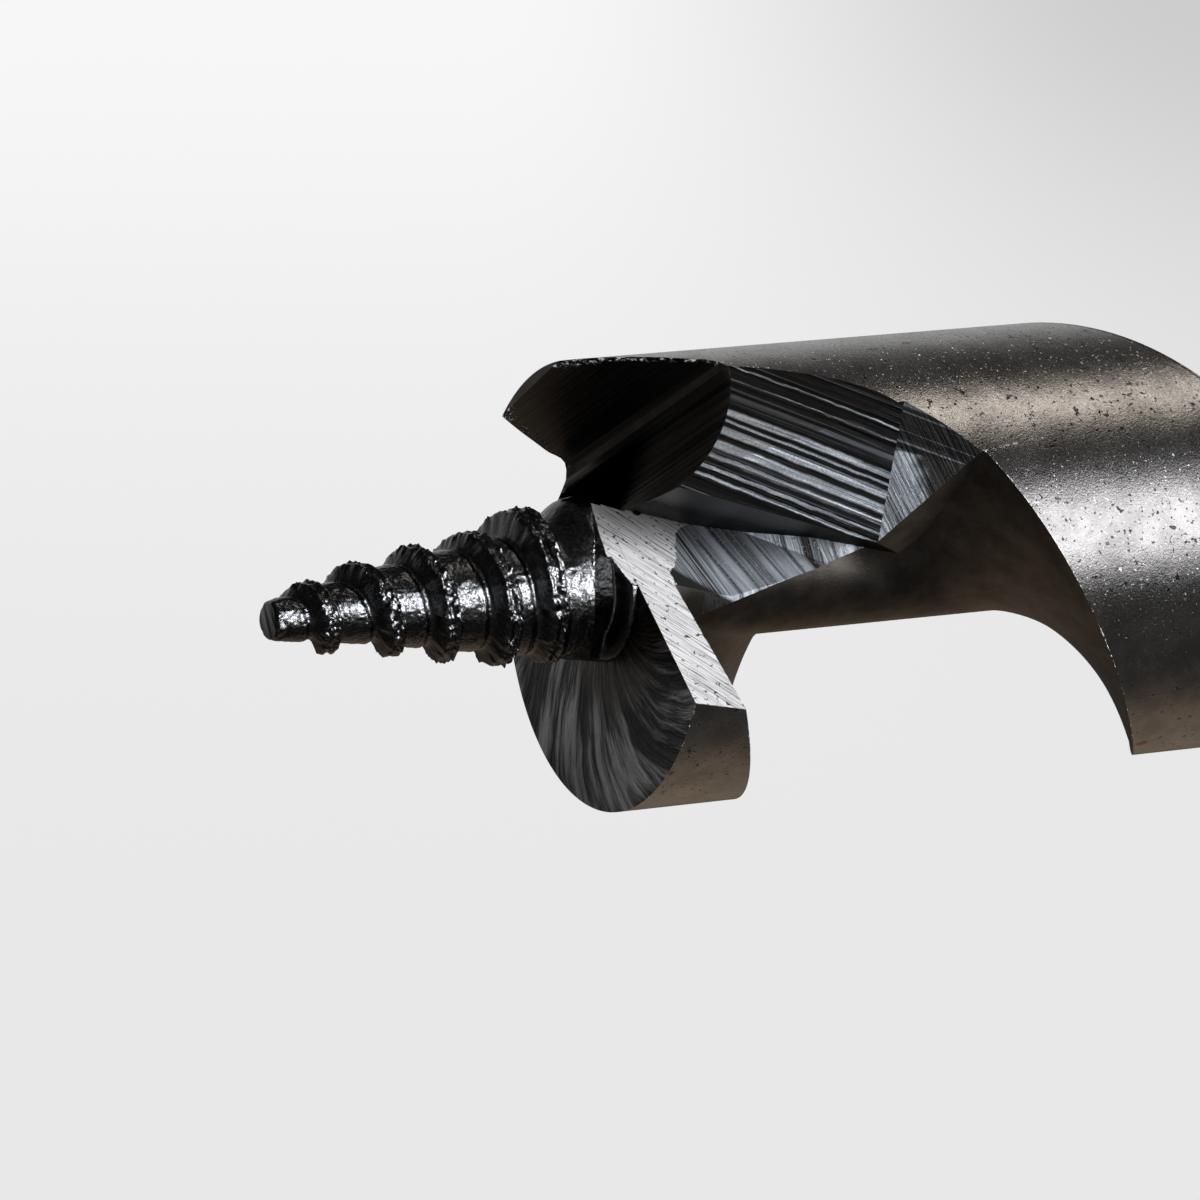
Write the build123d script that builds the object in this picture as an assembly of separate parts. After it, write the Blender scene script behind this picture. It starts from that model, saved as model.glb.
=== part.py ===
from build123d import *
import math
import os

# An auger drill bit for wood, in one piece of steel, lying along X.
# The screw tip is at -X and the hexagonal shank at +X; the underside is at Z = 0.
# Inside the functions Z runs along the bit from the screw tip toward the shank.

# Overall sizes, in millimetres
CUT_D = 20.0
TOTAL_L = 235.0
HEX_AF = 11.1
HEX_L = 38.0
HEX_CHAMFER = 1.0
NECK_D = 9.6
TWIST_END = 164.0
RUNOUT_L = 9.0
SWELL_L = 16.0

# Twist: one land wound to the right around a thin core
PITCH = 36.5
LAND_DEG = 139.0
CORE_D = 5.6
LAND_START = 34.76
HEAD_S = 15.8
TWIST_S = 15.0

# Lead screw
SCREW_TIP_D = 1.5
SCREW_BASE_D = 6.2
THREAD_PITCH = 2.85
THREAD_TURNS = 5.05
THREAD_H = 0.45
THREAD_W = 1.15
THREAD_FROM = 170.0

# Cutting head
SPUR_S = 15.45
HEAD_L = 20.0
CHANNEL_FLOOR = 20.4

# Ground faces of the head: the normal of each plane and its distance from the origin
FRONT = (-0.0504, -0.0497, -1.0, -16.48)
CUTTER_REAR = (-0.2266, 0.3229, -1.0, -19.14)
RAKE = (0.571, -0.791, 0.221, 5.89)
CEILING = (0.238, 0.932, -0.272, -8.0)
FLOOR = (0.591, -0.791, -0.164, -2.26)
SPUR_BLOCK = (0.75, 0, -1.0, -28.5)
TOE = (0.708, 0.694, 0.134, 5.7)
STEP = (0.72, 0.117, -0.684, -16.02)
BEVEL_TOP = (0.671, -0.72, -0.178, 4.81)
BEVEL_SIDE = (0.973, 0.224, 0.052, 5.37)

R = CUT_D / 2
BODY_R = R - 0.05
FAR = 60.0


def half_space(nx, ny, nz, k):
    """A large block that fills the side of a plane its normal points to."""
    normal = Vector(nx, ny, nz).normalized()
    size = Vector(nx, ny, nz).length
    face = Plane(origin=normal * (k / size), z_dir=normal)
    block = Box(2 * FAR, 2 * FAR, FAR, align=(Align.CENTER, Align.CENTER, Align.MIN))
    return face * block


def polar(radius, deg):
    """A point of the cross-section from its radius and its angle."""
    return (radius * math.cos(math.radians(deg)), radius * math.sin(math.radians(deg)))


def twist_section():
    """The land and the core, with the land's front wall at angle zero."""
    core = CORE_D / 2
    outer = ThreePointArc(polar(BODY_R, -LAND_DEG), polar(BODY_R, -LAND_DEG / 2), polar(BODY_R, 0))
    front = Spline(
        polar(BODY_R, 0),
        polar(0.8945 * BODY_R, 2),
        polar(0.7136 * BODY_R, 5.5),
        polar(0.5528 * BODY_R, 12),
        polar(0.4322 * BODY_R, 21),
        polar(0.3417 * BODY_R, 36),
        polar(core, 66),
        tangents=(Vector(-1, 0.1), Vector(*polar(1, 156))),
    )
    web = ThreePointArc(polar(core, 66), polar(core, 125), polar(core, 190))
    back = Spline(
        polar(core, 190),
        polar(0.3317 * BODY_R, 209),
        polar(0.4623 * BODY_R, 218.5),
        polar(BODY_R, 360 - LAND_DEG),
        tangents=(Vector(*polar(1, 280)), Vector(*polar(1, 221))),
    )
    return make_face([outer, front, web, back])


def twist():
    """The twisted length, tapered off at its end where the core swells into the neck."""
    length = TWIST_END - TWIST_S
    turn = 360 * length / PITCH
    first = (TWIST_S - LAND_START) * 360 / PITCH
    section = Pos(0, 0, TWIST_S) * Rot(0, 0, first) * twist_section()
    body = Solid.extrude_linear_with_rotation(section.face(), (0, 0, TWIST_S), (0, 0, length), turn)
    taper = Polyline(
        (0, 0),
        (R + 1, 0),
        (R + 1, TWIST_END - RUNOUT_L),
        (NECK_D / 2 - 1.5, TWIST_END),
        (0, TWIST_END),
        (0, 0),
    )
    return body & revolve(Plane.XZ * make_face(taper), Axis.Z)


def shank():
    """The swelling core, the round neck and the hexagonal shank."""
    start = TOTAL_L - HEX_L
    corner = HEX_AF / math.sqrt(3)
    swell = TWIST_END - SWELL_L
    neck = Polyline(
        (0, swell),
        (CORE_D / 2 - 0.2, swell),
        (NECK_D / 2, TWIST_END - 1),
        (NECK_D / 2, start + 0.2),
        (0, start + 0.2),
        (0, swell),
    )
    hexagon = RegularPolygon(HEX_AF / 2, 6, major_radius=False, rotation=30)
    prism = Pos(0, 0, start) * extrude(hexagon, HEX_L)
    wide = corner + 0.2
    edge = TOTAL_L - HEX_CHAMFER
    rim = corner - HEX_CHAMFER
    limit = [
        Polyline((0, TOTAL_L), (0, start), (NECK_D / 2, start)),
        Spline((NECK_D / 2, start), ((NECK_D / 2 + wide) / 2, start + 0.5), (wide, start + 1.2)),
        Line((wide, start + 1.2), (wide, edge)),
        Spline((wide, edge), (corner - 0.35 * HEX_CHAMFER, edge + 0.6 * HEX_CHAMFER), (rim, TOTAL_L)),
        Line((rim, TOTAL_L), (0, TOTAL_L)),
    ]
    bar = prism & revolve(Plane.XZ * make_face(limit), Axis.Z)
    return bar + revolve(Plane.XZ * make_face(neck), Axis.Z)


def lead_screw():
    """The tapered screw with one raised thread."""
    tip = SCREW_TIP_D / 2
    base = SCREW_BASE_D / 2
    root = HEAD_S + 0.6
    cone = Cone(tip, base + 0.35, root, align=(Align.CENTER, Align.CENTER, Align.MIN))
    slope = math.degrees(math.atan2(base - tip, HEAD_S))
    low = 0.95
    radius = tip + low * math.tan(math.radians(slope)) - 0.08
    path = Helix(THREAD_PITCH, THREAD_PITCH * THREAD_TURNS, radius, center=(0, 0, low), cone_angle=slope)
    ridge = Polyline(
        (-THREAD_W / 2, -0.1),
        (-THREAD_W / 4, THREAD_H),
        (THREAD_W / 5, THREAD_H),
        (THREAD_W / 2, -0.1),
        (-THREAD_W / 2, -0.1),
    )
    place = Plane(origin=path @ 0, x_dir=(0, 0, 1), z_dir=path % 0)
    thread = sweep(place * make_face(ridge), path=path, is_frenet=True)
    return cone + Rot(0, 0, THREAD_FROM) * thread


def through_channel():
    """The groove ground between the spur and the screw, right through the head."""
    along = Vector(0.87, -0.48, 0.113).normalized()
    outward = Vector(-0.483, -0.876, 0.0)
    plane = Plane(origin=(0, 0, 0), x_dir=outward, z_dir=along)
    sign = 1 if plane.y_dir.Z > 0 else -1
    floor = CHANNEL_FLOOR
    points = [
        (9.9, floor - 6.4),
        (9.0, floor - 3.4),
        (8.32, floor - 1.5),
        (7.7, floor - 0.15),
        (7.3, floor),
        (5.9, floor - 0.5),
        (4.3, floor - 1.5),
        (2.75, floor - 2.98),
        (1.6, floor - 4.6),
        (0.6, floor - 6.9),
        (9.9, floor - 6.9),
        (9.9, floor - 6.4),
    ]
    outline = Polyline(*[(u, v * sign) for u, v in points])
    return extrude(plane * make_face(outline), 30, both=True)


def head(body):
    """The cutter and the spur added to the twist, then ground to shape."""
    blank = Pos(0, 0, SPUR_S) * Cylinder(R, HEAD_L, align=(Align.CENTER, Align.CENTER, Align.MIN))
    rake = half_space(*RAKE)
    ceiling = half_space(*CEILING)
    step = half_space(*STEP)

    cutter = (blank & half_space(*CUTTER_REAR)) - rake
    upper = (blank & half_space(*SPUR_BLOCK)) - ceiling - half_space(*TOE)
    body = body + cutter + upper

    # Ground faces between the cutter and the spur.
    body = body - (ceiling & rake & half_space(*FLOOR) & step)
    bevels = half_space(*BEVEL_TOP) + half_space(*BEVEL_SIDE)
    body = body - ((step & bevels) - ceiling)
    body = body - through_channel()
    front = half_space(*FRONT) & half_space(0.483, 0.876, 0, -5.0)
    return body - front


def auger_bit():
    """The whole bit, still standing on its screw tip."""
    return head(twist() + shank()) + lead_screw()


def lying(shape):
    """The bit laid down: its axis along X, its underside at Z = 0."""
    bed = Plane(origin=(-TOTAL_L / 2, 0, R), x_dir=(0, -1, 0), z_dir=(1, 0, 0))
    return bed * shape


os.makedirs("parts", exist_ok=True)
bit = lying(auger_bit())
export_step(bit, "parts/auger_bit.step")
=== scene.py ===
import math

import bmesh
import bpy
import numpy as np
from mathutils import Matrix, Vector


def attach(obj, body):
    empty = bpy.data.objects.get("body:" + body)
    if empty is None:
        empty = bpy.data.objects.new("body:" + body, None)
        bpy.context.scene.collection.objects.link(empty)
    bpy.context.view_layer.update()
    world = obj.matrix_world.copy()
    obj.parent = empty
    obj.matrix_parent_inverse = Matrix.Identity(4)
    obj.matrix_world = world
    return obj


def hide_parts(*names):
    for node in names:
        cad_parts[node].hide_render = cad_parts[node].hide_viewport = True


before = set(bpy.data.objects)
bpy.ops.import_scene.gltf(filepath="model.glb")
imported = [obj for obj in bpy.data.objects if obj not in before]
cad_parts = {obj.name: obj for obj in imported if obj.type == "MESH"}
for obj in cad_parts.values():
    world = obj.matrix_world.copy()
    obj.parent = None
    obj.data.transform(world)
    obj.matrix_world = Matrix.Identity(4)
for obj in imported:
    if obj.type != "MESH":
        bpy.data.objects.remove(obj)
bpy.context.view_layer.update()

# An auger drill bit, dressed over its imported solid.
# Local places are in millimetres and their Z runs from the screw tip to the shank;
# to_world turns them into the metres of the shared frame.

MM = 0.001

# Sizes and ground faces, the same as the part's: a plane is its normal and its distance
R = 10.0
BODY_R = R - 0.05
CORE_R = 2.8
PITCH = 36.5
LAND_DEG = 139.0
LAND_START = 34.76
TWIST_S = 15.0
TWIST_END = 164.0
RUNOUT_L = 9.0
SWELL_L = 16.0
SWELL_R = 2.6
NECK_R = 4.8
TOTAL_L = 235.0
HEX_L = 38.0
HEX_AF = 11.1
HEX_LEAD = 1.2
HEX_CHAMFER = 1.0
BLANK_SPAN = (15.45, 35.45)
FRONT = (-0.0504, -0.0497, -1.0, -16.48)
CUTTER_REAR = (-0.2266, 0.3229, -1.0, -19.14)
RAKE = (0.571, -0.791, 0.221, 5.89)
CEILING = (0.238, 0.932, -0.272, -8.0)
FLOOR = (0.591, -0.791, -0.164, -2.26)
SPUR_BLOCK = (0.75, 0, -1.0, -28.5)
TOE = (0.708, 0.694, 0.134, 5.7)
STEP = (0.72, 0.117, -0.684, -16.02)
BEVEL_TOP = (0.671, -0.72, -0.178, 4.81)
BEVEL_SIDE = (0.973, 0.224, 0.052, 5.37)
END_LIMIT = (0.483, 0.876, 0, -5.0)
CHANNEL_ALONG = Vector((0.87, -0.48, 0.113)).normalized()
CHANNEL_OUT = (-0.483, -0.876, 0.0)
CHANNEL_FLOOR = 20.4
CHANNEL_REACH = 30

THREAD_PITCH = 2.85
THREAD_FROM = 170.0
THREAD_LOW = 0.95
SCREW_END = 19.2

# How fine the meshes are
ARC_STEPS = 60
ROUND_STEPS = 480
BLOCK_SIZE = 120
SCREW_AROUND = 270
SCREW_ALONG = 350

# The straight edge on the flute where the clearance face ends
EDGE_POINT = np.array((2.76, -0.49, 25.8))
EDGE_SIDE = np.cross((0.862, -0.174, -0.478), (-0.26, -0.78, 3.1))
EDGE_SIDE = EDGE_SIDE / np.linalg.norm(EDGE_SIDE)

# Each zone of the bit's surface has a material of its own; the ground ones lie between flute and shank.
ZONES = [
    "land",
    "flute",
    "lip",
    "clearance",
    "step",
    "streaks_top",
    "streaks_side",
    "band",
    "channel",
    "end_face",
    "spur_edge",
    "shank",
]
GROUND_ZONES = range(ZONES.index("lip"), ZONES.index("shank"))
ZONE_PLANES = [
    (RAKE, "lip"),
    (FLOOR, "clearance"),
    (STEP, "step"),
    (BEVEL_TOP, "streaks_top"),
    (BEVEL_SIDE, "streaks_side"),
    (CEILING, "band"),
    (FRONT, "end_face"),
    (TOE, "spur_edge"),
    (CUTTER_REAR, "flute"),
]
# No ground face lies beyond the first place, and no wall of the channel beyond the second
HEAD_END = 34
CHANNEL_END = 20.5

# Directions of the grinding lines
LIP_LINES = (0.469, 0.535, 0.703)
CLEARANCE_LINES = (0.805, 0.563, 0.184)
STEP_LINES = (0.219, 0.897, 0.384)
BAND_LINES = (0.137, 0.245, 0.96)
TOP_STREAK_LINES = (0.563, 0.338, 0.755)
SIDE_STREAK_LINES = (-0.137, 0.382, 0.914)

# Across the coarse streaks, and where each crest painted bright as a highlight lies there with half its
# width
ACROSS = (0.03, -0.921, 0.39)
STREAKS = [(17.36, 0.035), (16.79, 0.035), (15.35, 0.13), (14.96, 0.06), (14.51, 0.16), (13.86, 0.17)]
STREAKS += [(13.32, 0.1), (12.8, 0.08), (12.4, 0.07)]
# The direction across the clearance face, and the two places there between which it turns black
CLEAR_EDGE = (0.0957, -0.8684, 0.489)
CLEAR_FADE = (10.2, 10.0)
# The middle of the one spot of rust on the land
RUST_SPOT = (5.1, 8.5, 41.2)

# The normal in the world that mirrors the large light, and how far ground faces lean toward it
LIGHT_SIDE = (-0.005, -0.972, 0.235)
LEAN = {"lip": 0.75, "clearance": 0.68, "step": 0.62, "streaks_top": 0.45, "streaks_side": 0.4}


def to_world(points):
    """Local millimetres to metres in the shared frame."""
    p = np.asarray(points, float)
    return np.stack([p[:, 2] - TOTAL_L / 2, -p[:, 0], R - p[:, 1]], axis=1) * MM


def ramp(x, a, b):
    """A straight rise from nothing at a to one at b."""
    return np.clip((x - a) / (b - a), 0, 1)


def smooth(x, a, b):
    """A soft rise from nothing at a to one at b."""
    t = ramp(x, a, b)
    return t * t * (3 - 2 * t)


def hermite(points, first, last, count):
    """A smooth run through the points, with its end directions given and its start the finer part."""
    p = np.array(points, float)
    run = np.concatenate([[0], np.cumsum(np.linalg.norm(np.diff(p, axis=0), axis=1))])
    slope = np.gradient(p, run, axis=0)
    slope[0] = np.array(first) / np.linalg.norm(first)
    slope[-1] = np.array(last) / np.linalg.norm(last)
    at = run[-1] * (np.linspace(0, 1, count + 1) ** 1.15)
    k = np.clip(np.searchsorted(run, at, side="right") - 1, 0, len(run) - 2)
    step = (run[k + 1] - run[k])[:, None]
    w = (at - run[k])[:, None] / step
    near = (2 * w**3 - 3 * w**2 + 1) * p[k] + (w**3 - 2 * w**2 + w) * step * slope[k]
    return near + (3 * w**2 - 2 * w**3) * p[k + 1] + (w**3 - w**2) * step * slope[k + 1]


def polar(radius, deg):
    """A point of the cross-section from its radius and its angle."""
    return (radius * math.cos(math.radians(deg)), radius * math.sin(math.radians(deg)))


def as_polar(points):
    """Angles in degrees and radii of the points."""
    return [(math.degrees(math.atan2(y, x)) % 360, math.hypot(x, y)) for x, y in points]


def section():
    """Angles in degrees and radii of the land and core outline, once round."""
    walls = [(1, 0), (0.8945, 2), (0.7136, 5.5), (0.5528, 12), (0.4322, 21), (0.3417, 36)]
    front = [polar(BODY_R * share, deg) for share, deg in walls] + [polar(CORE_R, 66)]
    front = hermite(front, (-1, 0.1), polar(1, 156), 34)
    back = [
        polar(BODY_R, 221),
        polar(0.4623 * BODY_R, 218.5),
        polar(0.3317 * BODY_R, 209),
        polar(CORE_R, 190),
    ]
    back = hermite(back, (-math.cos(math.radians(41)), 0.6), polar(1, 100), 26)[::-1]
    rows = [(a, BODY_R) for a in np.linspace(-LAND_DEG, 0, ARC_STEPS + 1)[:-1]]
    rows += as_polar(front[:-1])
    rows += [(a, CORE_R) for a in np.linspace(66, 190, 31)[:-1]]
    rows += as_polar(back[:-1])
    rows[ARC_STEPS] = (0.0, BODY_R)
    return np.array(rows)


def bar_rings():
    """Rings of (angle, radius, place) from the head to the shank end."""
    rows = section()
    count = len(rows)
    # The rings stand closer together where the form changes quickly.
    places = np.concatenate(
        [
            np.arange(TWIST_S, 78, 0.26),
            np.arange(78, 153, 0.75),
            np.arange(153, 165, 0.3),
            [166, 175, 185, 196.8, 197.0, 197.3, 197.6, 197.9, 198.2, 199, 210, 225, 234.0],
            [234.2, 234.4, 234.6, 234.8, 235.0],
        ]
    )
    even = 30 + np.arange(count) * 360.0 / count
    corner = HEX_AF / math.sqrt(3)
    wide = corner + 0.2
    hex_start = TOTAL_L - HEX_L
    rings = []
    for s in places:
        turn = (min(s, TWIST_END + 1) - LAND_START) * 360 / PITCH
        angle = rows[:, 0] + turn
        radius = rows[:, 1].copy()
        if s > TWIST_END - SWELL_L:
            taper = R + 1 + (NECK_R - 1.5 - R - 1) * ramp(s, TWIST_END - RUNOUT_L, TWIST_END)
            radius = np.minimum(radius, taper)
            swell = SWELL_R + (NECK_R - SWELL_R) * ramp(s, TWIST_END - SWELL_L, TWIST_END - 1)
            radius = np.maximum(radius, swell)
        if s > TWIST_END + 1:
            start = rows[0, 0] + turn
            square = even - 360 * round((even[0] - start) / 360)
            angle = angle + (square - angle) * ramp(s, TWIST_END + 1, hex_start - 1)
            radius[:] = NECK_R
        if s > hex_start:
            flat = (even - 30) % 60 - 30
            radius = HEX_AF / 2 / np.cos(np.radians(flat))
            lead = ramp(s, hex_start, hex_start + HEX_LEAD) ** 0.85
            radius = np.minimum(radius, NECK_R + (wide - NECK_R) * lead)
            drop = ramp(s, TOTAL_L - HEX_CHAMFER, TOTAL_L)
            radius = np.minimum(radius, wide - (wide - corner + HEX_CHAMFER) * drop**1.5)
        rings.append(np.stack([angle, radius, np.full(count, s)], axis=1))
    return np.array(rings)


def lofted(rings):
    """A closed mesh from rings of (angle, radius, place): vertices and faces."""
    m, n = rings.shape[:2]
    a = np.radians(rings[..., 0])
    points = np.stack([rings[..., 1] * np.cos(a), rings[..., 1] * np.sin(a), rings[..., 2]], -1)
    i, j = np.meshgrid(np.arange(m - 1), np.arange(n), indexing="ij")
    k = (j + 1) % n
    faces = np.stack([i * n + j, i * n + k, (i + 1) * n + k, (i + 1) * n + j], -1)
    faces = faces.reshape(-1, 4).tolist()
    faces.append(list(range(n))[::-1])
    faces.append([(m - 1) * n + q for q in range(n)])
    return points.reshape(-1, 3), faces


def linked(name, mesh):
    """An object for the mesh, in the scene."""
    made = bpy.data.objects.new(name, mesh)
    bpy.context.scene.collection.objects.link(made)
    return made


def new_object(name, verts, faces):
    mesh = bpy.data.meshes.new(name)
    mesh.from_pydata([tuple(v) for v in verts], [], faces)
    mesh.update()
    return linked(name, mesh)


def convex(name, keep, drop=(), cylinder=None):
    """A block or cylinder cut down to the keep side of some planes and off the drop side of others."""
    bm = bmesh.new()
    if cylinder:
        low, high = cylinder
        bmesh.ops.create_cone(
            bm, cap_ends=True, segments=ROUND_STEPS, radius1=R, radius2=R, depth=high - low
        )
        bmesh.ops.translate(bm, verts=bm.verts, vec=(0, 0, (high + low) / 2))
    else:
        bmesh.ops.create_cube(bm, size=BLOCK_SIZE)
    for planes, side in ((keep, 1), (drop, -1)):
        for nx, ny, nz, k in planes:
            normal = Vector((nx, ny, nz))
            point = normal * (k / normal.length_squared)
            geom = list(bm.verts) + list(bm.edges) + list(bm.faces)
            cut = bmesh.ops.bisect_plane(
                bm, geom=geom, dist=1e-6, plane_co=point, plane_no=normal * side, clear_inner=True
            )
            edges = [e for e in cut["geom_cut"] if isinstance(e, bmesh.types.BMEdge)]
            if edges:
                bmesh.ops.edgenet_fill(bm, edges=edges)
    bmesh.ops.recalc_face_normals(bm, faces=bm.faces)
    mesh = bpy.data.meshes.new(name)
    bm.to_mesh(mesh)
    bm.free()
    return linked(name, mesh)


def channel_block():
    """The groove between the spur and the screw, with a rounded floor."""
    outward = Vector(CHANNEL_OUT).normalized()
    up = CHANNEL_ALONG.cross(outward)
    up = up if up.z > 0 else -up
    wall = [(9.9, -6.4), (9.0, -3.4), (8.32, -1.5), (7.7, -0.15), (7.3, 0)]
    floor_line = [(7.3, 0), (5.9, -0.5), (4.3, -1.5), (2.75, -2.98), (1.6, -4.6), (0.6, -6.9)]
    line = hermite(wall, (-0.3, 1), (-1, 0.1), 24)[:-1].tolist()
    line += hermite(floor_line, (-1, -0.15), (-0.4, -1), 36).tolist() + [(9.9, -6.9)]
    ring = [outward * u + up * (CHANNEL_FLOOR + v) for u, v in line]
    verts = [p - CHANNEL_ALONG * CHANNEL_REACH for p in ring]
    verts += [p + CHANNEL_ALONG * CHANNEL_REACH for p in ring]
    n = len(ring)
    faces = [[i, (i + 1) % n, n + (i + 1) % n, n + i] for i in range(n)]
    faces += [list(range(n))[::-1], [n + i for i in range(n)]]
    made = new_object("channel_block", verts, faces)
    bm = bmesh.new()
    bm.from_mesh(made.data)
    bmesh.ops.recalc_face_normals(bm, faces=bm.faces)
    bm.to_mesh(made.data)
    bm.free()
    return made


def cut_or_join(body, tool, kind):
    """Applies one exact boolean to the body and removes the tool."""
    mod = body.modifiers.new("cut", "BOOLEAN")
    mod.object = tool
    mod.operation = kind
    mod.solver = "EXACT"
    graph = bpy.context.evaluated_depsgraph_get()
    mesh = bpy.data.meshes.new_from_object(body.evaluated_get(graph))
    body.modifiers.clear()
    body.data = mesh
    bpy.data.objects.remove(tool)


def make_bar():
    """The bit without its screw, in local millimetres, put together and ground as the part is."""
    made = new_object("bit_body", *lofted(bar_rings()))
    cut_or_join(made, convex("cutter", [CUTTER_REAR], [RAKE], BLANK_SPAN), "UNION")
    cut_or_join(made, convex("upper", [SPUR_BLOCK], [CEILING, TOE], BLANK_SPAN), "UNION")
    cut_or_join(made, convex("facet", [CEILING, RAKE, FLOOR, STEP]), "DIFFERENCE")
    cut_or_join(made, convex("bevel_a", [STEP, BEVEL_TOP], [CEILING]), "DIFFERENCE")
    cut_or_join(made, convex("bevel_b", [STEP, BEVEL_SIDE], [CEILING]), "DIFFERENCE")
    cut_or_join(made, channel_block(), "DIFFERENCE")
    cut_or_join(made, convex("front", [FRONT, END_LIMIT]), "DIFFERENCE")
    return made


def score_edge(mesh):
    """Cuts the mesh, without opening it, along the straight edge where the clearance face ends."""
    bm = bmesh.new()
    bm.from_mesh(mesh)
    near = []
    for f in bm.faces:
        middle = f.calc_center_median()
        if 19 < middle.z < 31 and middle.xy.length < 7 and middle.x > 0 and len(f.verts) < 8:
            near.append(f)
    geom = set(near)
    for f in near:
        geom.update(f.edges)
        geom.update(f.verts)
    bmesh.ops.bisect_plane(
        bm, geom=list(geom), dist=1e-5, plane_co=tuple(EDGE_POINT), plane_no=tuple(EDGE_SIDE)
    )
    bm.to_mesh(mesh)
    bm.free()


def values(items, name, kind, width=1):
    """One attribute of every item, as an array."""
    out = np.zeros(len(items) * width, kind)
    items.foreach_get(name, out)
    return out.reshape(-1, width) if width > 1 else out


def head_zone(centre, normal):
    """The zone of a face of the head, from the plane that it lies in."""
    for (nx, ny, nz, k), name in ZONE_PLANES:
        length = math.sqrt(nx * nx + ny * ny + nz * nz)
        off = abs((nx * centre[0] + ny * centre[1] + nz * centre[2] - k) / length)
        tilt = abs(nx * normal[0] + ny * normal[1] + nz * normal[2]) / length
        if off < 0.02 and tilt > 0.999:
            return name
    if abs(np.dot(normal, CHANNEL_ALONG)) < 0.01 and centre[2] < CHANNEL_END:
        return "channel"
    return "flute"


def zone_name(centre, normal, on_rim):
    """The zone of a face from its middle, its normal and whether all its corners are on the rim."""
    x, y, s = centre
    around = math.hypot(x, y)
    if on_rim and around > R - 0.25 and (normal[0] * x + normal[1] * y) / around > 0.985:
        return "land"
    if s > TWIST_END - 1:
        return "shank"
    if s >= HEAD_END:
        return "flute"
    name = head_zone(centre, normal)
    # The clearance face fades out on to the flute, up to one straight edge.
    near = 20 < s < 30 and around < 6.5 and x > 0.5 and np.dot(centre - EDGE_POINT, EDGE_SIDE) > 0
    if near and (name == "flute" or (name == "step" and s < 27 and x < 4)):
        return "clearance"
    return name


def finish_bar(mesh):
    """Gives each face its zone, makes the rim one even cylinder and takes the mesh to the world."""
    co = values(mesh.vertices, "co", float, 3)
    radius = np.hypot(co[:, 0], co[:, 1])
    rim = (radius > R - 0.06) & (co[:, 2] < 157)
    zone = np.zeros(len(mesh.polygons), np.int32)
    for f in mesh.polygons:
        corners = list(f.vertices)
        name = zone_name(co[corners].mean(axis=0), np.array(f.normal), rim[corners].all())
        zone[f.index] = ZONES.index(name)
    co[rim, :2] *= (BODY_R / radius[rim])[:, None]
    mesh.vertices.foreach_set("co", co.ravel())
    mesh.polygons.foreach_set("material_index", zone)
    mesh.polygons.foreach_set("use_smooth", np.ones(len(mesh.polygons), bool))
    # The step between the head and the twist is gone now, so its flattened faces go too.
    bm = bmesh.new()
    bm.from_mesh(mesh)
    bmesh.ops.remove_doubles(bm, verts=bm.verts, dist=0.001)
    bmesh.ops.dissolve_degenerate(bm, edges=bm.edges, dist=0.001)
    bm.to_mesh(mesh)
    bm.free()
    co = values(mesh.vertices, "co", float, 3)
    mesh.vertices.foreach_set("co", to_world(co).ravel())
    mesh.update()


def shade_bar(mesh):
    """Sharp edges where two zones meet, true round normals on the land, flat ones on ground faces."""
    zone = values(mesh.polygons, "material_index", int)
    owner = np.repeat(np.arange(len(zone)), values(mesh.polygons, "loop_total", int))
    here = zone[owner]
    edge = values(mesh.loops, "edge_index", int)
    low = np.full(len(mesh.edges), len(ZONES))
    high = np.full(len(mesh.edges), -1)
    np.minimum.at(low, edge, here)
    np.maximum.at(high, edge, here)
    mesh.set_sharp_from_angle(angle=math.radians(28))
    sharp = mesh.attributes.get("sharp_edge") or mesh.attributes.new("sharp_edge", "BOOLEAN", "EDGE")
    flags = values(sharp.data, "value", bool)
    sharp.data.foreach_set("value", flags | (low != high))
    mesh.update()
    normals = np.array([n.vector for n in mesh.corner_normals])
    co = values(mesh.vertices, "co", float, 3)[values(mesh.loops, "vertex_index", int)]
    outward = np.stack([np.zeros(len(co)), co[:, 1], co[:, 2] - R * MM], axis=1)
    outward /= np.maximum(np.linalg.norm(outward, axis=1), 1e-9)[:, None]
    on_land = here == ZONES.index("land")
    normals[on_land] = outward[on_land]
    on_ground = np.isin(here, GROUND_ZONES)
    normals[on_ground] = values(mesh.polygons, "normal", float, 3)[owner][on_ground]
    # A ground face scatters light from its grooves, so its shading leans toward the large light.
    for name, lean in LEAN.items():
        leaning = here == ZONES.index(name)
        tilted = normals[leaning] * (1 - lean) + np.array(LIGHT_SIDE) * lean
        normals[leaning] = tilted / np.linalg.norm(tilted, axis=1)[:, None]
    mesh.normals_split_custom_set(normals.tolist())


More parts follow.
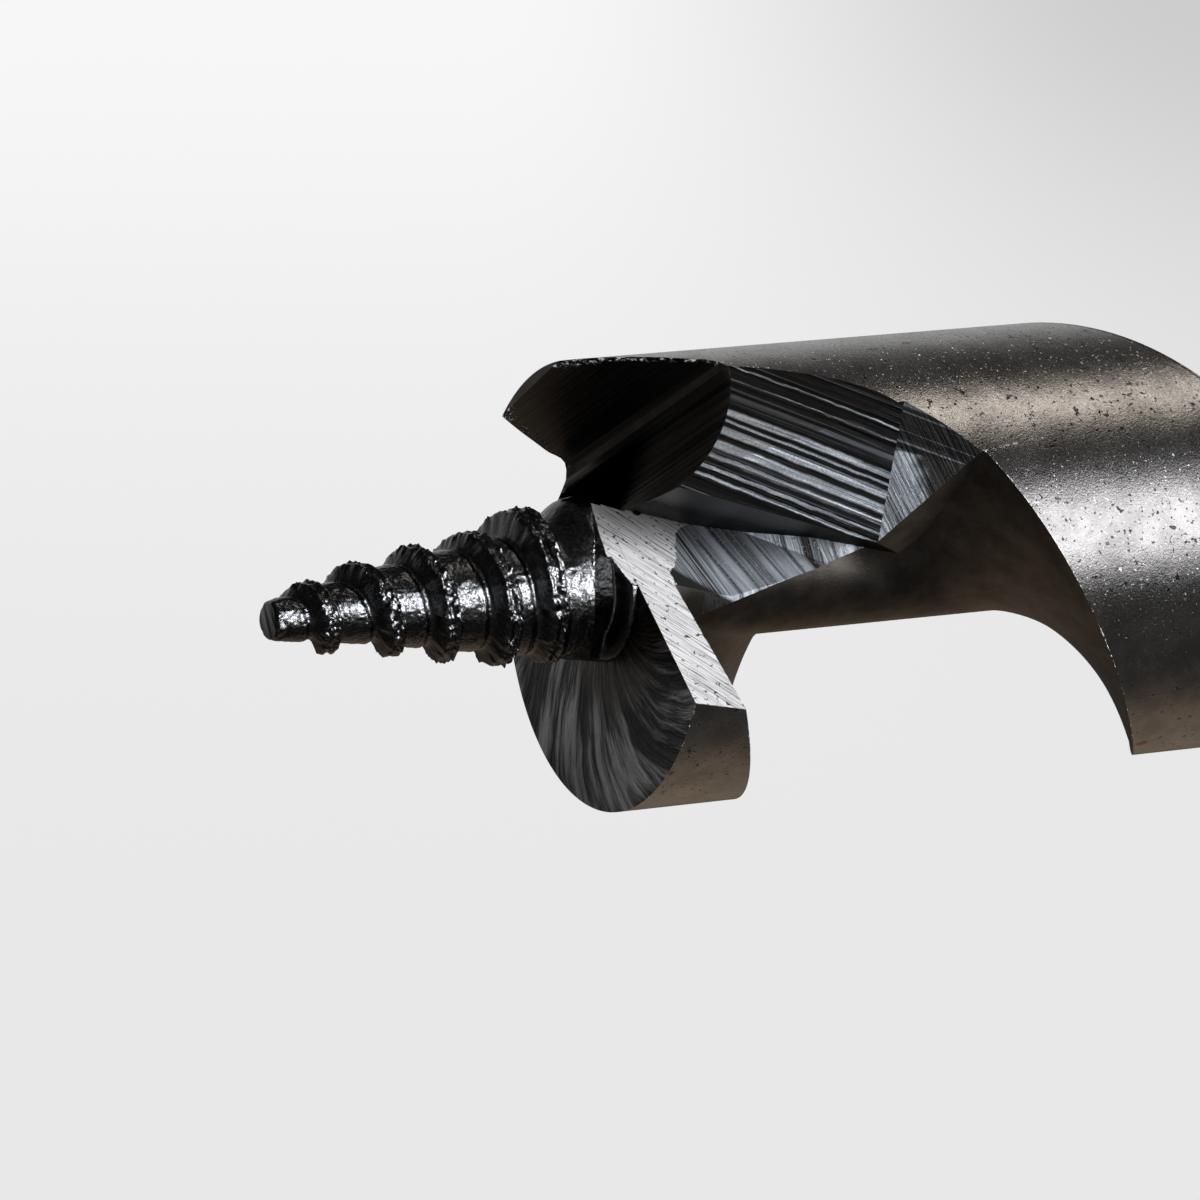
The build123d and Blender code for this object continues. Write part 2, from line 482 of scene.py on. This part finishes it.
class Nodes:
    """A short way to write a node tree that paints by place."""

    def __init__(self, tree, place):
        self.tree = tree
        self.place = self.node("ShaderNodeTexCoord").outputs[place]

    def node(self, kind, inputs=(), **settings):
        made = self.tree.nodes.new(kind)
        for key, value in settings.items():
            setattr(made, key, value)
        for key, value in dict(inputs).items():
            self.put(value, made.inputs[key])
        return made

    def put(self, value, socket):
        if isinstance(value, bpy.types.NodeSocket):
            self.tree.links.new(value, socket)
        elif isinstance(value, bpy.types.Node):
            self.tree.links.new(value.outputs[0], socket)
        else:
            socket.default_value = value

    def math(self, kind, a, b=0.0, c=0.0):
        return self.node("ShaderNodeMath", {0: a, 1: b, 2: c}, operation=kind).outputs[0]

    def add(self, a, b):
        return self.math("ADD", a, b)

    def times(self, a, b):
        return self.math("MULTIPLY", a, b)

    def larger(self, a, b):
        return self.math("MAXIMUM", a, b)

    def vector(self, kind, a, b, output=0):
        return self.node("ShaderNodeVectorMath", {0: a, 1: b}, operation=kind).outputs[output]

    def dot(self, direction, other=None):
        """How far the place, or another vector, lies along a direction."""
        return self.vector("DOT_PRODUCT", other or self.place, tuple(direction), "Value")

    def pack(self, x, y, z=0.0):
        return self.node("ShaderNodeCombineXYZ", {0: x, 1: y, 2: z}).outputs[0]

    def noise(self, vector, scale=1.0, detail=3.0, rough=0.55):
        inputs = {"Vector": vector, "Scale": scale, "Detail": detail, "Roughness": rough}
        return self.node("ShaderNodeTexNoise", inputs).outputs["Fac"]

    def grow(self, value, low, high, to_low=0.0, to_high=1.0):
        """A soft change from to_low where the value is low to to_high where it is high."""
        inputs = {0: value, 1: low, 2: high, 3: to_low, 4: to_high}
        return self.node("ShaderNodeMapRange", inputs, interpolation_type="SMOOTHSTEP").outputs[0]

    def mix(self, share, a, b):
        """Colour a where the share is nothing, colour b where it is one."""
        return self.node("ShaderNodeMix", {0: share, 6: a, 7: b}, data_type="RGBA").outputs[2]


class Paint(Nodes):
    """A metal's material, painted by the place on the bit in local millimetres."""

    def __init__(self, name):
        self.mat = bpy.data.materials.new(name)
        self.mat.use_nodes = True
        super().__init__(self.mat.node_tree, "Object")
        self.bsdf = self.tree.nodes["Principled BSDF"]
        world = self.node("ShaderNodeSeparateXYZ", {0: self.place})
        self.x = self.math("MULTIPLY", world.outputs[1], -1 / MM)
        self.y = self.math("MULTIPLY_ADD", world.outputs[2], -1 / MM, R)
        self.s = self.math("MULTIPLY_ADD", world.outputs[0], 1 / MM, TOTAL_L / 2)
        self.place = self.pack(self.x, self.y, self.s)

    def lines(self, normal, along, fine, long):
        """A vector for noise drawn out along one direction of a ground face."""
        n = Vector(normal[:3]).normalized()
        a = Vector(along).normalized()
        c = n.cross(a).normalized()
        return self.pack(self.times(self.dot(c), fine), self.times(self.dot(a), long), 3.1)

    def rings(self, across, along, detail):
        """Noise that is the same round the bit and changes along it."""
        place = self.pack(self.times(self.x, across), self.times(self.y, across), self.times(self.s, along))
        return self.noise(place, 1.0, detail, 0.6)

    def bump(self, height, depth):
        made = self.node("ShaderNodeBump", {"Height": height, "Distance": depth, "Strength": 1.0})
        return made.outputs["Normal"]

    def near_edge(self):
        """One along the sharp edges, nothing elsewhere."""
        soft = self.node("ShaderNodeBevel", {"Radius": 0.12 * MM}, samples=4).outputs[0]
        flat = self.node("ShaderNodeNewGeometry").outputs["Normal"]
        return self.grow(self.vector("DOT_PRODUCT", soft, flat, "Value"), 0.93, 0.86)

    def glints_and_wear(self, colour, normal, where):
        """Bright torn specks of wear in one place, painted pale as highlights, with their normals turned
        toward the large light.
        """
        torn = self.grow(self.noise(self.place, 3.5, 3.0, 0.75), 0.48, 0.6)
        share = self.times(self.times(where, torn), 0.8)
        made = self.node("ShaderNodeMix", {0: share, 4: normal, 5: LIGHT_SIDE}, data_type="VECTOR")
        # Painted highlight: the specks' colour is mixed toward pale grey.
        return self.mix(share, colour, grey(0.9)), made.outputs[1]

    def ground(self, plane, along, bright, fine=5.0, dark=0.03):
        """A face with fine parallel grinding lines: its colour, its share of bright lines, its height."""
        narrow = self.noise(self.lines(plane, along, fine, 0.1), 1.0, 3.0, 0.7)
        broad = self.noise(self.lines(plane, along, fine * 0.35, 0.03), 1.0, 1.0, 0.5)
        specks = self.grow(self.noise(self.place, 9.0, 2.0, 0.5), 0.6, 0.68)
        share = self.grow(self.add(self.times(narrow, 0.5), self.times(broad, 0.5)), 0.36, 0.62)
        colour = self.mix(share, grey(dark), grey(bright, -0.1))
        colour = self.mix(self.times(specks, 0.5), colour, grey(min(bright * 2, 0.95)))
        return colour, share, self.add(narrow, self.times(specks, 0.4))

    def finish(self, colour, rough, normal, metal=1.0):
        self.put(colour, self.bsdf.inputs["Base Color"])
        self.put(rough, self.bsdf.inputs["Roughness"])
        self.put(metal, self.bsdf.inputs["Metallic"])
        self.put(normal, self.bsdf.inputs["Normal"])
        return self.mat


def grey(v, warm=0.0):
    return (v * (1 + warm), v, v * (1 - warm), 1)


def land_paint(name):
    """Polished steel with turning marks, stains, pits, bright glints and one spot of rust."""
    p = Paint(name)
    rings = p.rings(0.35, 7.0, 4.0)
    grain = p.noise(p.place, 9.0, 3.0, 0.7)
    cloud = p.noise(p.place, 0.5, 3.0, 0.6)
    pits = p.grow(p.noise(p.place, 2.6, 2.0, 0.5), 0.67, 0.73)
    pits = p.larger(pits, p.grow(p.noise(p.place, 5.5, 2.0, 0.5), 0.66, 0.71))
    height = p.add(p.add(p.times(rings, 0.3), grain), p.times(pits, -1.2))
    colour = p.mix(p.grow(cloud, 0.35, 0.65), grey(0.28, 0.02), grey(0.38, 0.02))
    stains = p.grow(p.noise(p.place, 1.3, 5.0, 0.7), 0.55, 0.7)
    colour = p.mix(p.times(stains, 0.45), colour, grey(0.13, 0.05))
    colour = p.mix(p.times(pits, 0.85), colour, grey(0.04, 0.1))
    spot = p.add(p.vector("DISTANCE", p.place, RUST_SPOT, "Value"), p.times(grain, 0.3))
    colour = p.mix(p.grow(spot, 0.5, 0.35), colour, (0.2, 0.02, 0.01, 1))
    rough = p.grow(grain, 0.3, 0.7, 0.18, 0.27)
    # Painted highlights: glints scattered over the land and along its sharp edges.
    glints = p.times(p.grow(p.noise(p.place, 7.5, 2.0, 0.6), 0.6, 0.7), 0.6)
    colour, normal = p.glints_and_wear(colour, p.bump(height, 0.014 * MM), p.larger(p.near_edge(), glints))
    return p.finish(colour, rough, normal)


def flute_paint(name, base, warm):
    """Forged steel that was never ground."""
    p = Paint(name)
    cloud = p.noise(p.place, 0.8, 4.0, 0.6)
    grain = p.noise(p.place, 9.0, 3.0, 0.6)
    colour = p.mix(p.grow(cloud, 0.3, 0.7), grey(base * 0.7, warm), grey(base * 1.3, warm))
    return p.finish(colour, 0.42, p.bump(grain, 0.01 * MM), 0.9)


def dark_far_part(p, colour):
    """The far part of the clearance grinding is black."""
    return p.mix(p.grow(p.dot(CLEAR_EDGE), *CLEAR_FADE), colour, grey(0.015))


def lip_paint():
    """The cutting lip: bright, with fine dark scratches and a few pits."""
    p = Paint("lip")
    fine = p.noise(p.lines(RAKE, LIP_LINES, 8.0, 0.25), 1.0, 4.0, 0.7)
    wide = p.noise(p.lines(RAKE, LIP_LINES, 2.2, 0.12), 1.0, 2.0, 0.5)
    pits = p.grow(p.noise(p.place, 4.2, 2.0, 0.5), 0.64, 0.68)
    hair = p.noise(p.lines(RAKE, LIP_LINES, 17.0, 0.5), 1.0, 2.0, 0.6)
    dark = p.larger(p.grow(fine, 0.54, 0.64), p.times(p.grow(hair, 0.5, 0.62), 0.6))
    colour = p.mix(p.times(dark, 0.85), grey(1.0), grey(0.1))
    colour = p.mix(p.times(p.grow(wide, 0.45, 0.7), 0.35), colour, grey(0.35))
    colour = p.mix(p.times(pits, 0.9), colour, grey(0.02))
    # The coarser clearance grinding reaches over the inner corner of the lip, up to a torn edge.
    from_corner = p.add(p.x, 0.34)
    edge = p.add(20.27, p.times(from_corner, -0.57))
    edge = p.add(edge, p.larger(p.times(from_corner, -1.0), 0.0))
    edge = p.add(edge, p.times(p.larger(p.add(p.x, -1.5), 0.0), -0.43))
    edge = p.larger(edge, 18.5)
    torn = p.times(p.add(p.noise(p.place, 2.2, 3.0, 0.6), -0.5), 0.7)
    over = p.grow(p.add(p.add(p.s, p.times(edge, -1.0)), torn), -0.04, 0.04)
    coarse = p.noise(p.lines(RAKE, CLEARANCE_LINES, 5.0, 0.1), 1.0, 3.0, 0.7)
    inner = p.mix(p.grow(coarse, 0.4, 0.6), grey(0.03), grey(0.42, -0.1))
    colour = p.mix(over, colour, dark_far_part(p, inner))
    normal = p.bump(p.add(fine, p.times(pits, -1.0)), 0.01 * MM)
    return p.finish(colour, 0.42, normal, 0.75)


def clearance_paint():
    p = Paint("clearance")
    colour, _, height = p.ground(FLOOR, CLEARANCE_LINES, 0.8)
    return p.finish(dark_far_part(p, colour), 0.35, p.bump(height, 0.04 * MM), 0.6)


def step_paint():
    """Only the lower inner part is bright; the outer part is painted dark as shadow, and the streaks of the
    next face go on above it as painted highlights on black.
    """
    p = Paint("step")
    colour, share, height = p.ground(STEP, STEP_LINES, 0.75)
    # Above, the next face's streaks go on as thin painted highlights on black.
    across = p.add(p.dot(ACROSS), p.times(p.add(p.x, -5.25), -0.23))
    thin = p.noise(p.pack(p.times(p.dot(ACROSS), 6.0), p.times(p.s, 0.03), 1.7), 1.0, 3.0, 0.7)
    above = p.mix(p.grow(thin, 0.54, 0.62), grey(0.01), grey(0.22, -0.09))
    # Painted shadow: the outer part fades to dark brown.
    outer_shade = p.mix(p.times(share, 0.5), grey(0.02, 0.1), grey(0.09))
    far = p.add(p.x, p.times(p.add(p.noise(p.place, 1.5, 2.0, 0.6), -0.5), 0.8))
    colour = p.mix(p.grow(far, 5.6, 6.3), colour, outer_shade)
    colour = p.mix(p.grow(across, 16.4, 16.5), colour, above)
    return p.finish(colour, 0.35, p.bump(height, 0.04 * MM), 0.6)


def band_paint():
    """The narrow face above the lip, painted near black as shade; the sheen of its left end is tinted out,
    also as painted shade.
    """
    p = Paint("band")
    # Painted shade: the face's colour is near black.
    colour, _, height = p.ground(CEILING, BAND_LINES, 0.013, 3.0, 0.008)
    p.put(p.mix(p.grow(p.x, 1.0, 3.6), grey(0.1), grey(0.9)), p.bsdf.inputs["Specular Tint"])
    return p.finish(colour, 0.5, p.bump(height, 0.006 * MM), 0.6)


def streak_paint(name, along):
    """Deep parallel grooves from a coarse wheel: crests painted white as highlights, bottoms painted black
    as shade.
    """
    p = Paint(name)
    across = p.dot(ACROSS)
    run = p.dot(Vector(along).normalized())
    broad = p.noise(p.pack(p.times(across, 3.4), p.times(run, 0.012), 4.7), 1.0, 1.0, 0.4)
    fine = p.noise(p.pack(p.times(across, 11.0), p.times(run, 0.05), 1.7), 1.0, 3.0, 0.7)
    grain = p.noise(p.place, 10.0, 2.0, 0.6)
    crest = p.grow(p.add(p.times(broad, 0.6), p.times(fine, 0.4)), 0.54, 0.6)
    # Painted highlights make the crests white and painted shade makes the bottoms black.
    white = p.mix(p.grow(grain, 0.35, 0.65), grey(0.63, -0.09), grey(0.9, -0.09))
    colour = p.mix(crest, grey(0.008), grey(0.13, -0.09))
    bent = p.add(across, p.times(p.add(p.noise(p.place, 0.9, 2.0, 0.6), -0.5), 0.16))
    for middle, half in STREAKS:
        off = p.math("ABSOLUTE", p.add(bent, -middle))
        on_crest = p.times(p.grow(off, half * 1.4, half * 0.6), p.grow(fine, 0.3, 0.5))
        colour = p.mix(on_crest, colour, white)
    return p.finish(colour, 0.3, p.bump(p.add(broad, p.times(fine, 0.3)), 0.25 * MM), 0.7)


def end_paint():
    """The end of the cutter, turned with a rough tool: curved lines from the foot of the screw."""
    p = Paint("end_face")
    px = p.add(p.x, -0.8)
    py = p.add(p.y, -0.6)
    far = p.math("SQRT", p.add(p.times(px, px), p.times(py, py)))
    angle = p.math("ARCTAN2", py, px)
    wave = p.noise(p.place, 0.3, 1.0, 0.5)
    swept = p.add(p.add(angle, p.times(far, 0.09)), p.times(wave, 0.13))
    lines = p.noise(p.pack(p.times(swept, 13.0), p.times(far, 0.25)), 1.0, 4.0, 0.65)
    broad = p.noise(p.pack(p.times(swept, 4.5), p.times(far, 0.2)), 1.0, 2.0, 0.5)
    share = p.grow(p.add(p.times(lines, 0.5), p.times(broad, 0.5)), 0.47, 0.62)
    # Painted shade: darker near the foot of the screw and in the dish round it.
    shade = p.grow(far, 2.6, 6.0)
    dish_shade = p.times(p.grow(far, 5.2, 4.2), p.grow(far, 2.6, 3.4))
    colour = p.mix(share, grey(0.01), p.mix(shade, grey(0.1), grey(0.3)))
    colour = p.mix(p.times(dish_shade, 0.6), colour, grey(0.05, 0.25))
    return p.finish(colour, 0.4, p.bump(p.add(lines, broad), 0.14 * MM))


def channel_paint():
    """The groove through the head: a dark wall, a ruled floor whose far end is painted black as shade, and
    a torn rim with painted highlights.
    """
    p = Paint("channel")
    lines = p.noise(p.lines(END_LIMIT, CHANNEL_ALONG, 7.0, 0.05), 1.0, 3.0, 0.6)
    floor_part = p.grow(p.dot(CHANNEL_OUT), 7.6, 6.6)
    # Painted shade: the far end of the floor is black.
    far_end_shade = p.times(floor_part, p.grow(p.dot(CHANNEL_ALONG), 4.0, 1.0))
    line_share = p.grow(lines, 0.35, 0.65)
    colour = p.mix(line_share, grey(0.012), grey(0.05, 0.05))
    colour = p.mix(floor_part, colour, p.mix(line_share, grey(0.06), grey(0.3, 0.08)))
    colour = p.mix(far_end_shade, colour, grey(0.01))
    # Painted highlights on the torn burr along the top edge of the rim.
    radius = p.math("SQRT", p.add(p.times(p.x, p.x), p.times(p.y, p.y)))
    rim = p.grow(p.add(radius, p.times(p.noise(p.place, 1.4, 3.0, 0.6), 0.5)), 9.9, 10.0)
    colour, normal = p.glints_and_wear(colour, p.bump(lines, 0.03 * MM), rim)
    # Painted shade: the far end reflects almost nothing.
    p.put(p.mix(far_end_shade, grey(0.9), grey(0.02)), p.bsdf.inputs["Specular Tint"])
    metal = p.add(1.0, p.times(p.grow(floor_part, 0.5, 0.0), -0.3))
    return p.finish(colour, 0.35, normal, metal)


def screw_paint():
    """Rough speckled steel: black on the thread's leading flanks from scale and painted shade, painted
    shade on its upper and lower sides and in the notch, and painted highlight rings at the foot.
    """
    p = Paint("screw")
    facing = p.node("ShaderNodeNewGeometry").outputs["Normal"]
    grain = p.noise(p.place, 14.0, 4.0, 0.75)
    specks = p.grow(p.noise(p.place, 15.0, 2.0, 0.6), 0.52, 0.66)
    height = p.add(p.times(grain, 0.8), p.times(p.rings(0.4, 9.0, 3.0), 0.35))
    colour = p.mix(p.grow(grain, 0.42, 0.58), grey(0.04), grey(0.85, -0.05))
    colour = p.mix(p.times(specks, 0.75), colour, grey(0.95))
    # Painted shade: black where the surface faces the tip, faces up or faces down; on the leading flanks
    # this also stands for scale.
    dark = p.grow(p.dot((-1, 0, 0), facing), 0.3, 0.6)
    dark = p.larger(dark, p.times(p.grow(p.dot((0, 0, 1), facing), 0.35, 0.65), 0.9))
    dark = p.larger(dark, p.times(p.grow(p.dot((0, 0, -1), facing), 0.0, 0.32), 0.9))
    # The notch behind the collar, painted black as shade, follows the same curve as in screw_radius.
    angle = p.math("ARCTAN2", p.y, p.x)
    edge = p.math("MULTIPLY_ADD", p.times(angle, angle), 0.565, 14.4)
    notch = p.times(p.grow(p.add(p.s, p.times(edge, -1.0)), 0.0, 0.05), p.grow(p.s, 15.72, 15.6))
    dark = p.larger(dark, p.times(notch, p.grow(p.math("ABSOLUTE", angle), 1.5, 1.1)))
    colour = p.mix(p.times(dark, 0.93), colour, grey(0.02))
    # Painted highlights: thin bright rings at the very foot.
    thin = p.grow(p.noise(p.pack(0.3, 0.7, p.times(p.s, 11.0)), 1.0, 2.0, 0.6), 0.56, 0.64)
    thin = p.times(thin, p.grow(p.s, 15.55, 15.7))
    colour = p.mix(p.times(thin, p.grow(grain, 0.35, 0.6)), colour, grey(0.6))
    return p.finish(colour, 0.19, p.bump(height, 0.012 * MM))


def lattice(points, seed):
    """Smooth random values between -1 and 1 at points one apart, the same each run."""
    side = 48
    table = np.random.default_rng(seed).uniform(-1, 1, (side, side, side))
    cell = np.floor(points).astype(int)
    f = points - cell
    f = f * f * (3 - 2 * f)
    total = np.zeros(len(points))
    for dx in (0, 1):
        for dy in (0, 1):
            for dz in (0, 1):
                weight = np.abs(1 - dx - f[:, 0]) * np.abs(1 - dy - f[:, 1]) * np.abs(1 - dz - f[:, 2])
                c = (cell + (dx, dy, dz)) % side
                total += weight * table[c[:, 0], c[:, 1], c[:, 2]]
    return total


# How far the worn thread strays from an even helix: degrees turned, millimetres.
DRIFT = [(-20, 0.1), (91, 0.2), (179, -0.05), (271, -0.4), (451, -0.3), (539, -0.2), (631, -0.2)]
DRIFT += [(811, -0.25), (899, -0.42), (991, -0.55), (1171, -0.35), (1259, -0.5), (1351, -0.7)]
DRIFT += [(1531, -0.1), (1619, -0.25)]


def thread(place, deg, wide, mid, fine):
    """How high the torn thread stands at each place, and how deep the groove in front of it is."""
    height = np.zeros_like(place)
    groove = np.zeros_like(place)
    for k in range(-1, 7):
        turned = deg - THREAD_FROM + 360.0 * k
        drift = np.interp(turned, *zip(*DRIFT))
        centre = THREAD_LOW + THREAD_PITCH * turned / 360 - 1.05 * smooth(turned, 1270, 1640) + drift
        alive = smooth(turned, -20, 60) * (1 - smooth(turned, 1660, 1800))
        tall = np.exp(-(((turned - 1525) / 75) ** 2))
        d = place - centre + 0.05 * wide
        rise = smooth(d, -0.74, -0.36 - 0.05 * mid)
        fall = 1 - smooth(d, 0.22 + 0.06 * mid + 0.5 * tall, 0.55 + 0.5 * tall)
        crest = 0.1 * np.exp(-(((d + 0.26) / 0.13) ** 2)) + 0.05 * np.exp(-(((d - 0.22) / 0.12) ** 2))
        top = 0.42 + crest + 0.05 * mid + 0.035 * fine + 0.1 * np.maximum(mid + fine - 0.6, 0)
        top = top * (0.65 + 0.35 * smooth(turned, 60, 260)) * (1 - 0.3 * smooth(turned, 1580, 1640))
        height = np.maximum(height, rise * fall * (top + 0.42 * tall) * alive)
        groove = np.maximum(groove, np.exp(-(((d + 0.86) / 0.2) ** 2)) * alive)
    return height, groove


def screw_radius(place, deg, root, wide, mid, fine):
    """The screw's radius before the lip's plane cuts it."""
    height, groove = thread(place, deg, wide, mid, fine)
    burr = 0.015 * fine * (1 + height) + 0.015 * mid
    radius = root + height - 0.14 * groove + burr
    # The collar behind the thread stands higher on its upper side, and a notch parts it from the head.
    upper = np.maximum(np.cos(np.radians(deg - 258)), 0) ** 1.5
    radius = radius + 0.75 * upper * smooth(place, 13.3, 14.8) * (1 - 0.55 * smooth(place, 15.3, 16.0))
    front = (deg + 180) % 360 - 180
    edge = 14.37 + 0.62 * (front / 60) ** 2
    notch = smooth(place, edge - 0.05, edge + 0.05) * (1 - smooth(place, 15.6, 16.05))
    radius = radius - 0.85 * notch * (1 - smooth(np.abs(front + 5), 52, 85))
    # The tip is worn round.
    radius = radius - 0.07 * (1 - smooth(place, 0, 0.12)) * (1 + 0.7 * wide)
    radius = radius + 0.05 * mid * (1 - smooth(place, 0, 0.8))
    return radius * (1 - 0.34 * ramp(place, 16.2, SCREW_END))


def make_screw():
    """The tapered lead screw with its torn thread; its second material is for what the lip's plane cuts."""
    places = np.linspace(0, SCREW_END, SCREW_ALONG)
    place, deg = np.meshgrid(places, np.arange(SCREW_AROUND) * 360.0 / SCREW_AROUND, indexing="ij")
    root = 0.86 + 0.155 * place
    base = np.stack([root * np.cos(np.radians(deg)), root * np.sin(np.radians(deg)), place], -1)
    base = base.reshape(-1, 3)
    wide = lattice(base / 0.7, 1).reshape(place.shape)
    mid = lattice(base / 0.28, 2).reshape(place.shape)
    fine = lattice(base / 0.11, 3).reshape(place.shape)
    radius = screw_radius(place, deg, root, wide, mid, fine)
    # Near the head the lip's plane cuts across the collar, just below the lip itself.
    across = RAKE[0] * np.cos(np.radians(deg)) + RAKE[1] * np.sin(np.radians(deg))
    room = np.where(across > 0.05, (RAKE[3] - RAKE[2] * place) / np.maximum(across, 0.05) - 0.015, 99)
    cut = (place > 15.5) & (room < radius)
    radius = np.where(cut, room, radius)
    rings = np.stack([deg, np.maximum(radius, 0.2), place + 0.03 * mid * (1 - smooth(place, 0, 0.2))], -1)
    rings[0, :, 2] = 0.0
    points, faces = lofted(rings)
    # The tip bends down a little.
    points[:, 1] += 0.16 * (1 - smooth(points[:, 2], 0, 5))
    made = new_object("lead_screw", to_world(points), faces)
    flat = cut[:-1] & cut[1:] & np.roll(cut, -1, axis=1)[:-1]
    index = np.zeros(len(faces), np.int32)
    index[: flat.size] = flat.ravel()
    shade_screw(made.data, index)
    return made


def shade_screw(mesh, index):
    """Smooth shading with sharp edges; the cut part is shaded as the lip is."""
    mesh.polygons.foreach_set("use_smooth", np.ones(len(mesh.polygons), bool))
    mesh.set_sharp_from_angle(angle=math.radians(50))
    mesh.polygons.foreach_set("material_index", index)
    normals = np.array([n.vector for n in mesh.corner_normals])
    side = to_world([RAKE[:3]])[0] - to_world([(0, 0, 0)])[0]
    side = side / np.linalg.norm(side) * (1 - LEAN["lip"]) + np.array(LIGHT_SIDE) * LEAN["lip"]
    corners = values(mesh.polygons, "loop_total", int)
    normals[np.repeat(index, corners) == 1] = side / np.linalg.norm(side)
    mesh.normals_split_custom_set(normals.tolist())


def light_room():
    """A soft studio: pale behind, a large white light to the right, warm above, brown below."""
    room = bpy.data.worlds.new("room")
    room.use_nodes = True
    p = Nodes(room.node_tree, "Generated")
    # Centre, direction across, half width and half height as sines, softness, colour
    patches = [
        ((0.47, -0.85, 0.24), (0.875, 0.485, 0), 0.36, 0.25, 0.12, (3.0, 3.0, 3.08)),
        ((0.487, -0.05, 0.866), (0.0, 1.0, 0), 0.11, 0.16, 0.12, (3.2, 2.9, 2.6)),
        ((0.3, 0.92, 0.2), (0.95, -0.3, 0), 0.9, 0.3, 0.3, (0.5, 0.5, 0.5)),
        ((-0.79, -0.47, -0.39), (-0.51, 0.86, 0), 0.4, 0.25, 0.2, (0.2, 0.2, 0.21)),
        ((0.35, 0.5, -0.8), (1, 0, 0), 0.7, 0.45, 0.3, (0.2, 0.145, 0.095)),
    ]
    total = (0.055, 0.053, 0.052)
    for centre, across, wide, tall, soft, colour in patches:
        middle = Vector(centre).normalized()
        right = (Vector(across) - middle * middle.dot(Vector(across))).normalized()
        mask = p.grow(p.dot(middle), 0.0, 0.1)
        for axis, size in ((right, wide), (middle.cross(right), tall)):
            off = p.math("ABSOLUTE", p.dot(axis))
            mask = p.times(mask, p.grow(off, size - soft / 2, size + soft / 2, 1.0, 0.0))
        tint = p.node("ShaderNodeVectorMath", {0: colour, "Scale": mask}, operation="SCALE").outputs[0]
        total = p.vector("ADD", total, tint)
    # The camera sees one plain colour.
    seen = p.node("ShaderNodeLightPath").outputs["Is Camera Ray"]
    background = room.node_tree.nodes["Background"]
    p.put(p.mix(seen, total, (0.85, 0.85, 0.855, 1)), background.inputs[0])
    return room


def floor_paint():
    """Pale to the camera, with painted light and shade: lighter far behind the bit and darker to the right.
    A plain floor otherwise.
    """
    mat = bpy.data.materials.new("floor")
    mat.use_nodes = True
    p = Nodes(mat.node_tree, "Object")
    # How far to the right of the view and how far behind the bit, in metres
    side = p.grow(p.add(p.dot((0.875, -0.485, 0)), 0.0886), -0.01, 0.05)
    far = p.grow(p.add(p.dot((0.485, 0.875, 0)), 0.4044), 0.3, 0.7)
    # Painted light and shade: lighter far behind the bit, darker to its right.
    colour = p.mix(far, (0.805, 0.805, 0.805, 1), (0.93, 0.93, 0.935, 1))
    colour = p.mix(p.times(side, far), colour, (0.61, 0.61, 0.615, 1))
    glow = p.node("ShaderNodeEmission", {"Color": colour, "Strength": 1.0})
    seen = p.node("ShaderNodeLightPath").outputs["Is Camera Ray"]
    plain = mat.node_tree.nodes["Principled BSDF"]
    plain.inputs["Base Color"].default_value = (0.7, 0.7, 0.7, 1)
    both = p.node("ShaderNodeMixShader", {0: seen, 1: plain, 2: glow})
    p.put(both, mat.node_tree.nodes["Material Output"].inputs["Surface"])
    return mat


def make_floor():
    """A plain floor that shows to the camera but sends no light back to the bit."""
    made = new_object("floor", [(-2, -2, 0), (2, -2, 0), (2, 2, 0), (-2, 2, 0)], [[0, 1, 2, 3]])
    made.data.materials.append(floor_paint())
    made.visible_glossy = False
    made.visible_diffuse = False
    made.visible_shadow = False
    return made


def make_camera():
    """A camera at the photo's viewing angle, fitted to the edges of the bit."""
    made = bpy.data.objects.new("camera", bpy.data.cameras.new("camera"))
    bpy.context.scene.collection.objects.link(made)
    made.location = (-0.2734, -0.3106, 0.0722)
    aim = Vector((-0.10124, 0, 0.009347)) - made.location
    made.rotation_euler = aim.to_track_quat("-Z", "Y").to_euler()
    made.data.sensor_width = 36
    made.data.lens = 247.11
    made.data.clip_start = 0.01
    return made


bar = make_bar()
score_edge(bar.data)
finish_bar(bar.data)
shade_bar(bar.data)
paints = {
    "land": land_paint("land"),
    "flute": flute_paint("flute", 0.09, 0.12),
    "lip": lip_paint(),
    "clearance": clearance_paint(),
    "step": step_paint(),
    "streaks_top": streak_paint("streaks_top", TOP_STREAK_LINES),
    "streaks_side": streak_paint("streaks_side", SIDE_STREAK_LINES),
    "band": band_paint(),
    "channel": channel_paint(),
    "end_face": end_paint(),
    "spur_edge": flute_paint("spur_edge", 0.12, 0.05),
    "shank": land_paint("shank"),
}
for zone in ZONES:
    bar.data.materials.append(paints[zone])
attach(bar, "root")
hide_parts("auger_bit")

screw = make_screw()
screw.data.materials.append(screw_paint())
screw.data.materials.append(paints["lip"])
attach(screw, "root")
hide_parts("auger_bit")

make_floor()

scene = bpy.context.scene
scene.camera = make_camera()
scene.world = light_room()
scene.view_settings.view_transform = "Standard"
